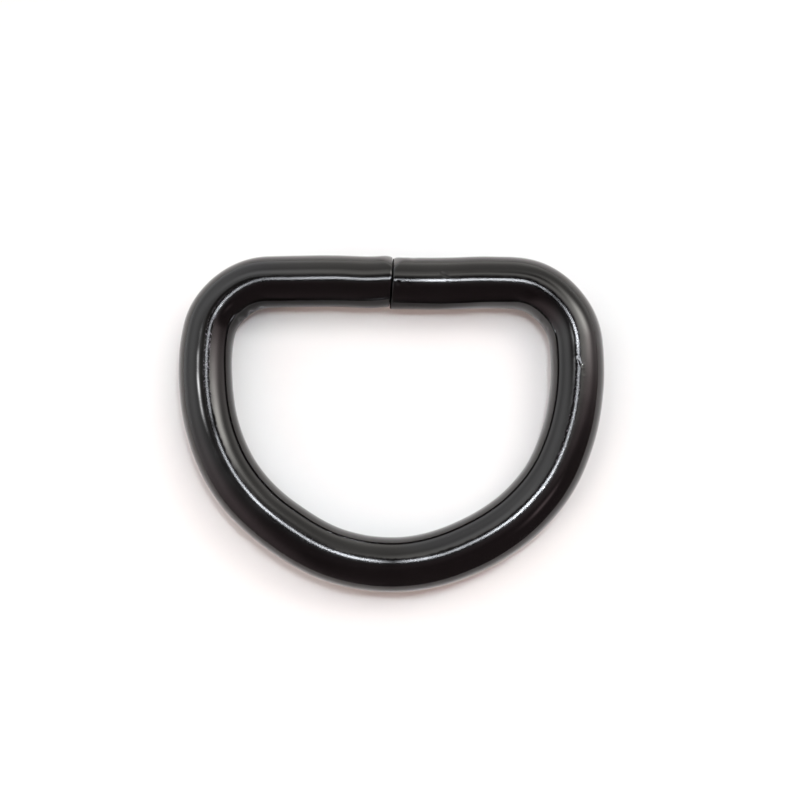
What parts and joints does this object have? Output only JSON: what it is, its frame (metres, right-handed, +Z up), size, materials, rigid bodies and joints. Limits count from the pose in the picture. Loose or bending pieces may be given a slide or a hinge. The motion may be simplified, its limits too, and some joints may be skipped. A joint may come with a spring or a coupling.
{
  "type": "d ring",
  "caption": "D-shaped strap ring bent from one round wire, with a straight bar that holds a strap, a rounded bow for a hook, and an open butt seam in the bar.",
  "frame": {"origin": "under the middle of the ring's outline, on the surface that it lies on", "axes": "+X along the straight bar, +Y from the bow to the bar in the ring's plane, +Z up, away from the surface"},
  "size_m": [0.0332, 0.0264, 0.0041],
  "materials": {
    "black_finish": "glossy black over steel wire, scuffed along its crest"
  },
  "bodies": {
    "root": {"ring": "black_finish"}
  },
  "joints": []
}
